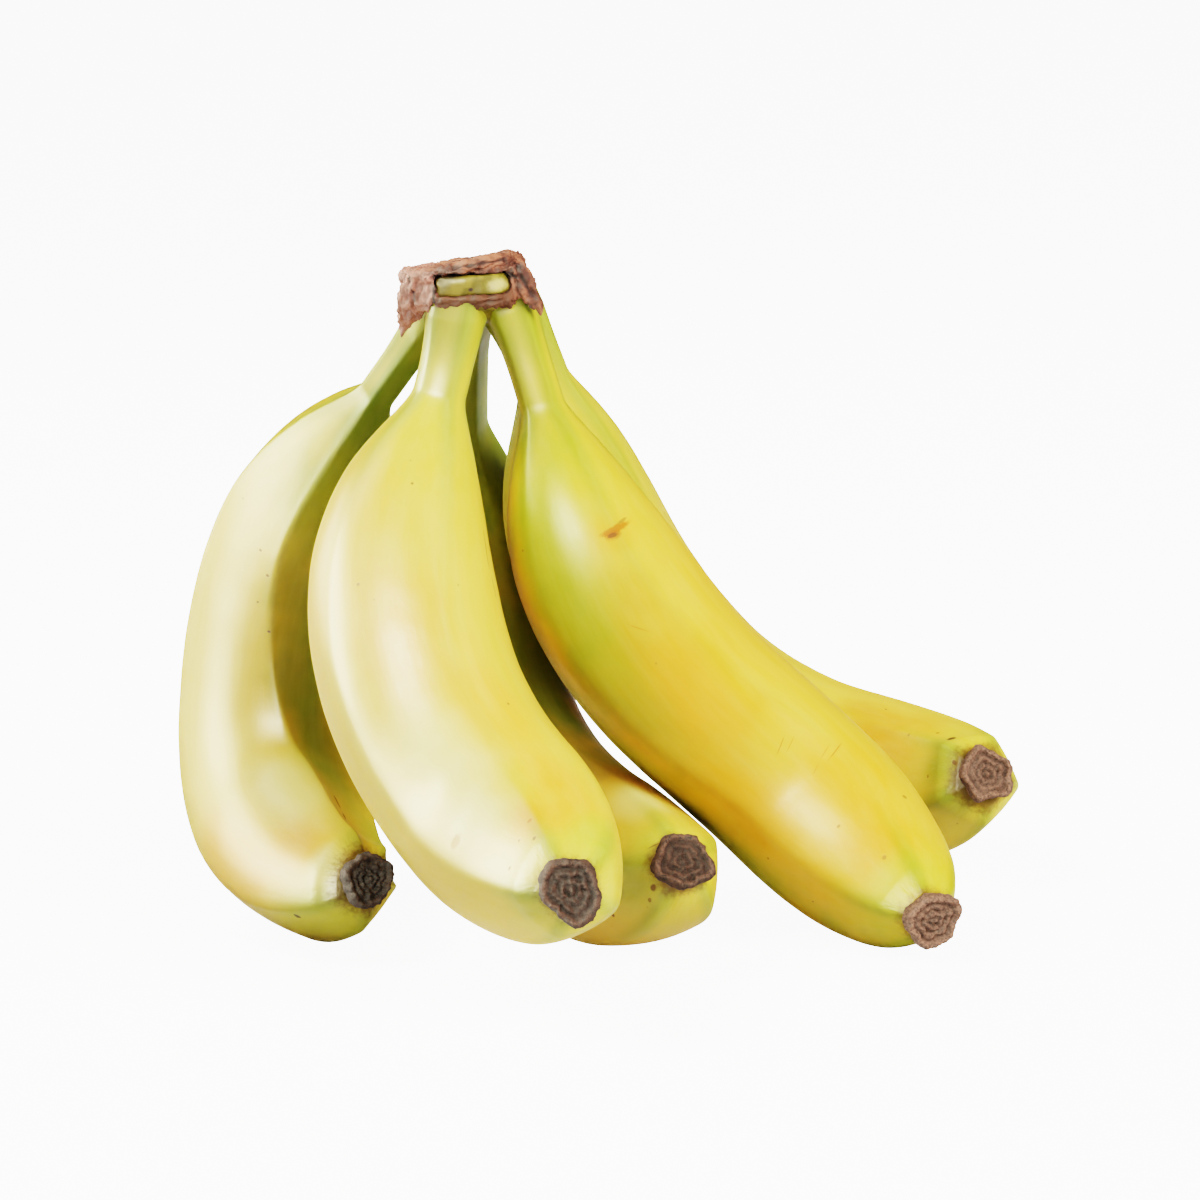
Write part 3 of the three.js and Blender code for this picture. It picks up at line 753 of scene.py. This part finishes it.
def makeBlossomEnd(fruit, tree, material, seed):
    stops = walkMiddleLine(fruit)
    base = fruit["length"] - fruitShape["blossomLength"]
    along = stops[-1][2]
    rows = []
    for height, width in blossomLook["profile"]:
        distance = base + height * fruitShape["blossomLength"]
        place, _, side = stopAt(stops, min(distance, fruit["length"]))
        place = place + along * max(distance - fruit["length"], 0)
        rows.append({"place": place * mm, "along": along, "side": side,
                     "distance": (distance - base) * mm, "width": width, "turn": 0.0, "stray": 0.0})
    piece = pathPiece("blossom_" + fruit["name"], rows)
    size, lobes, turns, toneAndLight = blossomLook["scars"][fruit["name"]]
    values = {"Columns": blossomLook["columns"], "Radius": fruitShape["tipRadius"] * size * mm,
              "Tone And Light": toneAndLight, "Seed": seed, "Blossom": material}
    for label, lobe, lobeTurn in zip(("Two", "Three", "Five"), lobes, turns):
        values[label + " Lobes"] = lobe
        values[label + " Turn"] = lobeTurn * degree
    grown(piece, tree, values)
    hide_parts("blossom_end_" + fruit["name"])
    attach(piece, "root")


blossomMaterial = makeBlossomMaterial(blossomLook)
blossomTree = makeBlossomTree(blossomLook)
firstSeed, seedStep = blossomLook["seeds"]
for order, fruit in enumerate(fruits):
    makeBlossomEnd(fruit, blossomTree, blossomMaterial, firstSeed + seedStep * order)
print("blossom ends made")


# Millimetres. Places on the crown are across and up, as seen from the front. Each groove has its
# half width, its depth and its line; each spot its place and half sizes. A pair such as front is
# where a part of the crown begins and where it is full.
crownLook = {
    "bark": tint(154, 100, 76), "darkBark": tint(84, 48, 38), "paleBark": tint(216, 164, 136),
    "wedgeTintAndHighlight": tint(188, 132, 118), "band": tint(96, 60, 40), "crease": tint(58, 36, 32),
    "flesh": tint(140, 124, 50), "fleshGreen": tint(110, 98, 28), "fleshHighlight": tint(196, 178, 116),
    "barkVoxel": 0.36, "barkSmooth": 3, "fleshVoxel": 0.5, "fleshSmooth": 3, "fleshSwell": 0.25,
    "middle": (-22, -5, 157), "front": (-1.5, 2.5), "leftWedge": (29.5, 31.5),
    "wedgeTop": (160, 162), "rightWedge": (-14, -11.5), "frayed": (151.5, 154.5),
    "bandTop": (155.2, 156.6), "flatTop": (162, 164),
    "slabFibre": (1, 0.1, 0.1), "leftFibre": (-0.25, 0.1, -1), "rightFibre": (0.45, 0.1, -1),
    "fibreStretch": 0.88, "fibre": 0.8, "fibreScale": 0.95, "lump": 0.45, "lumpScale": 0.22,
    "wobble": 0.5, "wobbleScale": 0.55, "fray": 1.1, "frayScale": 0.9,
    "windowRise": 0.9, "windowFront": (0, 4), "windowLeft": (-33, -30), "windowRight": (10, 13),
    "windowFoot": (151.5, 154.5), "windowHead": (-162.5, -159.5),
    "fibreNoise": 1300.0, "patchNoise": 180.0, "bump": 1.0, "bumpDepth": 0.0014,
    "fleshPatchNoise": 260.0, "fleshFineNoise": 900.0, "fleshBump": 0.3, "fleshBumpDepth": 0.0004,
    "fleshHighlightSpot": (-16.4, 157.2, 3, 1.8), "darkSpot": (-22.5, 156.6, 0.75, 0.65),
    "grooves": [
        (0.45, 0.55, ((-30.8, 159.9), (-27.6, 160.5), (-22.4, 160.1), (-18, 159.5), (-14.6, 159.7),
                      (-12.4, 158.4))),
        (0.45, 0.5, ((-26, 162.0), (-21, 162.3), (-14.4, 162.7))),
        (0.45, 0.5, ((-29.6, 160.4), (-30.6, 157), (-31.6, 152.6))),
        (0.35, 0.35, ((-36.5, 160), (-35.5, 155), (-37, 150))),
        (0.4, 0.4, ((-11.6, 161.5), (-10.4, 157.5), (-8.2, 153))),
    ],
}


def fromLine(x, z, line):                       # distance from a point to a line of points
    nearest = 99.0
    for (x0, z0), (x1, z1) in zip(line, line[1:]):
        share = ((x - x0) * (x1 - x0) + (z - z0) * (z1 - z0)) / ((x1 - x0) ** 2 + (z1 - z0) ** 2)
        share = min(max(share, 0), 1)
        nearest = min(nearest, math.hypot(x - x0 - share * (x1 - x0), z - z0 - share * (z1 - z0)))
    return nearest


def rise(value, low, high):                     # 0 below low, 1 above high, smooth between
    share = min(max((value - low) / (high - low), 0), 1)
    return share * share * (3 - 2 * share)


def remeshed(name, node, voxel, smooth):        # a fine, even copy of a node's solid
    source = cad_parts[node].data.copy()
    work = bmesh.new()
    work.from_mesh(source)
    bmesh.ops.remove_doubles(work, verts=work.verts, dist=1e-6)
    work.to_mesh(source)
    work.free()
    piece = plainPiece(name, source)
    remesh = piece.modifiers.new("even", "REMESH")
    remesh.mode = "VOXEL"
    remesh.voxel_size = voxel * mm
    softer = piece.modifiers.new("softer", "SMOOTH")
    softer.iterations = smooth
    softer.factor = 0.5
    evaluated = piece.evaluated_get(bpy.context.evaluated_depsgraph_get())
    mesh = bpy.data.meshes.new_from_object(evaluated)
    piece.modifiers.clear()
    piece.data = mesh
    bpy.data.meshes.remove(source)
    for polygon in mesh.polygons:
        polygon.use_smooth = True
    return piece


def shapeBark(piece, look):                     # fibres, grooves and frayed edges, and where they are
    mesh = piece.data
    normals = [vertex.normal.copy() for vertex in mesh.vertices]
    grain = mesh.attributes.new("grain", "FLOAT_VECTOR", "POINT")
    groove = mesh.attributes.new("groove", "FLOAT", "POINT")
    wedgeTintAndHighlight = mesh.attributes.new("wedgeTintAndHighlight", "FLOAT", "POINT")
    band = mesh.attributes.new("band", "FLOAT", "POINT")
    middle = Vector(look["middle"])
    for i, (vertex, normal) in enumerate(zip(mesh.vertices, normals)):
        p = vertex.co / mm
        front = rise(-p.y, *look["front"])
        left = rise(-p.x, *look["leftWedge"]) * (1 - rise(p.z, *look["wedgeTop"]))
        right = rise(p.x, *look["rightWedge"])
        fibre = Vector(look["slabFibre"]).lerp(Vector(look["leftFibre"]), left)
        fibre = fibre.lerp(Vector(look["rightFibre"]), right)
        fibre.normalize()
        q = p - middle
        across = q - fibre * q.dot(fibre) * look["fibreStretch"]
        strands = noise.fractal(across * look["fibreScale"], 0.7, 2.0, 4)
        lumps = noise.fractal(p * look["lumpScale"], 0.6, 2.0, 3)
        wobble = noise.noise(p * look["wobbleScale"]) * look["wobble"]
        depth = 0.0
        inGroove = 0.0
        for halfWidth, deep, line in look["grooves"]:
            gap = fromLine(p.x, p.z, line) + wobble
            share = (1 - rise(gap, halfWidth * 0.4, halfWidth * 1.5)) * front
            depth = max(depth, share * deep)
            inGroove = max(inGroove, share)
        outward = strands * look["fibre"] + lumps * look["lump"]
        if outward > 0:
            outward *= 1 - rise(p.z, *look["flatTop"])      # nothing stands above the flat top
        vertex.co += normal * ((outward - depth) * mm)
        lower = 1 - rise(p.z, *look["frayed"])
        edge = Vector((p.x * look["frayScale"], p.y * look["frayScale"], 3.0))
        vertex.co.z += noise.noise(edge) * look["fray"] * lower * mm
        grain.data[i].vector = across * mm
        groove.data[i].value = inGroove
        wedgeTintAndHighlight.data[i].value = left
        band.data[i].value = (1 - rise(p.z, *look["bandTop"])) * (1 - left) * (1 - right) * front


def raiseWindow(piece, look):                   # the opening sits a little higher at the front
    for vertex in piece.data.vertices:
        p = vertex.co / mm
        near = (rise(-p.y, *look["windowFront"]) * rise(p.x, *look["windowLeft"])
                * rise(-p.x, *look["windowRight"]))
        level = rise(p.z, *look["windowFoot"]) * rise(-p.z, *look["windowHead"])
        vertex.co.z += look["windowRise"] * near * level * mm


def swell(piece, look):                         # the flesh all but fills its opening
    normals = [vertex.normal.copy() for vertex in piece.data.vertices]
    for vertex, normal in zip(piece.data.vertices, normals):
        vertex.co += normal * look["fleshSwell"] * mm


def makeBarkMaterial(look):
    material, bench, shader = newMaterial("dried bark", look["bark"], 0.85)
    place = bench.node("ShaderNodeTexCoord", None, None, "Object")
    grain = bench.attribute("grain", "Vector")
    groove = bench.attribute("groove")
    fibres = bench.noise(grain, look["fibreNoise"], 5.0, 0.7)
    patches = bench.noise(place, look["patchNoise"], 3.0, 0.6)
    colour = bench.blend(patches.step(0.36, 0.6), look["darkBark"], look["bark"])
    # the left wedge paler: partly its pinkish bark, partly painted highlight from the light on the
    # left
    colour = bench.blend(bench.attribute("wedgeTintAndHighlight") * 0.6, colour, look["wedgeTintAndHighlight"])
    colour = bench.blend(bench.attribute("band") * 0.9, colour, look["band"])
    # fibre streaks: partly the bark's own streaky colour, partly painted highlight on raised fibres
    # and painted shade between them
    colour = bench.blend(fibres.step(0.5, 0.64) * 0.8, colour, look["paleBark"])
    colour = bench.blend((1 - fibres.step(0.36, 0.46)) * 0.8, colour, look["crease"])
    # the grooves nearly black: partly dark dry tissue, partly painted shade in them and under the
    # slab's overhang
    colour = bench.blend(groove * 0.92, colour, look["crease"])
    feed(bench, shader, "Base Color", colour)
    feed(bench, shader, "Roughness", 0.6 + patches * 0.3)
    roughen(bench, shader, look["bump"], look["bumpDepth"], fibres + patches * 0.3)
    return material


def makeFleshMaterial(look):
    material, bench, shader = newMaterial("crown flesh", look["flesh"], 0.5)
    place = bench.node("ShaderNodeTexCoord", None, None, "Object")
    x, y, z = bench.parts(place)
    patches = bench.noise(place, look["fleshPatchNoise"], 3.0)
    fine = bench.noise(place, look["fleshFineNoise"])

    def spot(across, up, half, halfUp):         # 1 in the middle of an oval spot
        u = (x - across * mm) / (half * mm)
        v = (z - up * mm) / (halfUp * mm)
        return 1 - ((u * u + v * v) ** 0.5 + (fine - 0.5) * 0.6).step(0.3, 1.1)

    colour = bench.blend(patches.step(0.42, 0.6), look["flesh"], look["fleshGreen"])
    # painted highlight: a pale spot on the flesh's rounded right end
    colour = bench.blend(spot(*look["fleshHighlightSpot"]) * 0.8, colour, look["fleshHighlight"])
    colour = bench.blend(spot(*look["darkSpot"]), colour, look["crease"])
    feed(bench, shader, "Base Color", colour)
    feed(bench, shader, "Roughness", 0.42 + patches * 0.2)
    roughen(bench, shader, look["fleshBump"], look["fleshBumpDepth"], patches + fine * 0.3)
    return material


def dressCrown(piece, node, material):
    piece.data.materials.clear()
    piece.data.materials.append(material)
    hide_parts(node)
    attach(piece, "root")


barkPiece = remeshed("bark", "crown_bark", crownLook["barkVoxel"], crownLook["barkSmooth"])
raiseWindow(barkPiece, crownLook)
shapeBark(barkPiece, crownLook)
dressCrown(barkPiece, "crown_bark", makeBarkMaterial(crownLook))

fleshPiece = remeshed("flesh", "crown_flesh", crownLook["fleshVoxel"], crownLook["fleshSmooth"])
raiseWindow(fleshPiece, crownLook)
swell(fleshPiece, crownLook)
dressCrown(fleshPiece, "crown_flesh", makeFleshMaterial(crownLook))
print("crown made")


studio = {                                      # metres
    "floorSize": 14.0, "floorColour": (0.8, 0.8, 0.8, 1), "floorGlow": 3.5, "floorShade": 0.72,
    "world": 0.03, "backdrop": 16.0, "lampsAim": (0, 0, 0.07),
    # soft lamps light only, shine lamps are seen only in the gloss of the peel
    "softColour": (1, 1, 1), "shineColour": (1.0, 0.93, 0.74),
    "lamps": {
        "soft right": {"place": (0.95, -0.85, 0.85), "size": (0.8, 0.8), "power": 33, "shine": False},
        "soft left": {"place": (-0.72, -0.02, 1.2), "size": (0.6, 0.6), "power": 21, "shine": False},
        "shine left": {"place": (-1.28, -0.2, 0.46), "size": (0.75, 0.85), "power": 78, "shine": True},
        "shine back": {"place": (-1.17, 0.68, 0.35), "size": (0.6, 0.6), "power": 16, "shine": True},
        "shine front": {"place": (-0.34, -1.18, 0.55), "size": (0.5, 0.5), "power": 62, "shine": True},
        "shine right": {"place": (1.05, -0.1, 0.9), "size": (1.0, 1.0), "power": 9, "shine": True},
    },
}


def cameraOnly(bench, seen, other):             # what the camera sees, and what lights the object
    rays = bench.node("ShaderNodeLightPath")
    return bench.node("ShaderNodeMixShader", None, {0: rays, 1: other, 2: seen})


def makeFloor(settings):
    mesh = bpy.data.meshes.new("floor")
    half = settings["floorSize"] / 2
    corners = [(-half, -half, 0), (half, -half, 0), (half, half, 0), (-half, half, 0)]
    mesh.from_pydata(corners, [], [(0, 1, 2, 3)])
    material, bench, shader = newMaterial("floor", settings["floorColour"], 0.9)
    shader.inputs["Emission Color"].default_value = (1, 1, 1, 1)
    shader.inputs["Emission Strength"].default_value = settings["floorGlow"]
    shade = settings["floorShade"]
    quiet = bench.node("ShaderNodeBsdfDiffuse", None, {"Color": (shade, shade, shade, 1)})
    mixed = cameraOnly(bench, Wire(bench, shader.outputs[0]), quiet)
    output = bench.tree.nodes["Material Output"]
    bench.tree.links.new(mixed.socket, output.inputs["Surface"])
    floor = plainPiece("floor", mesh, material)


def makeWorld(settings):
    world = bpy.data.worlds.new("studio")
    world.use_nodes = True
    bench = Bench(world.node_tree)
    white = (1, 1, 1, 1)
    seen = bench.node(
        "ShaderNodeBackground", None, {"Color": white, "Strength": settings["backdrop"]})
    other = bench.node("ShaderNodeBackground", None, {"Color": white, "Strength": settings["world"]})
    mixed = cameraOnly(bench, seen, other)
    bench.tree.links.new(mixed.socket, world.node_tree.nodes["World Output"].inputs["Surface"])
    bpy.context.scene.world = world


def makeLight(name, settings):
    data = bpy.data.lights.new(name, "AREA")
    data.shape = "RECTANGLE"
    data.size, data.size_y = settings["size"]
    data.energy = settings["power"]
    data.color = studio["shineColour" if settings["shine"] else "softColour"]
    lamp = bpy.data.objects.new(name, data)
    bpy.context.scene.collection.objects.link(lamp)
    lamp.location = settings["place"]
    lamp.visible_glossy = settings["shine"]
    lamp.visible_diffuse = not settings["shine"]
    towards = Vector(studio["lampsAim"]) - lamp.location
    lamp.rotation_mode = "QUATERNION"
    lamp.rotation_quaternion = towards.to_track_quat("-Z", "Y")


makeFloor(studio)
makeWorld(studio)
for lampName, lampSettings in studio["lamps"].items():
    makeLight(lampName, lampSettings)
bpy.context.scene.view_settings.view_transform = "Filmic"
bpy.context.scene.view_settings.look = "Very High Contrast"
print("floor and light set")
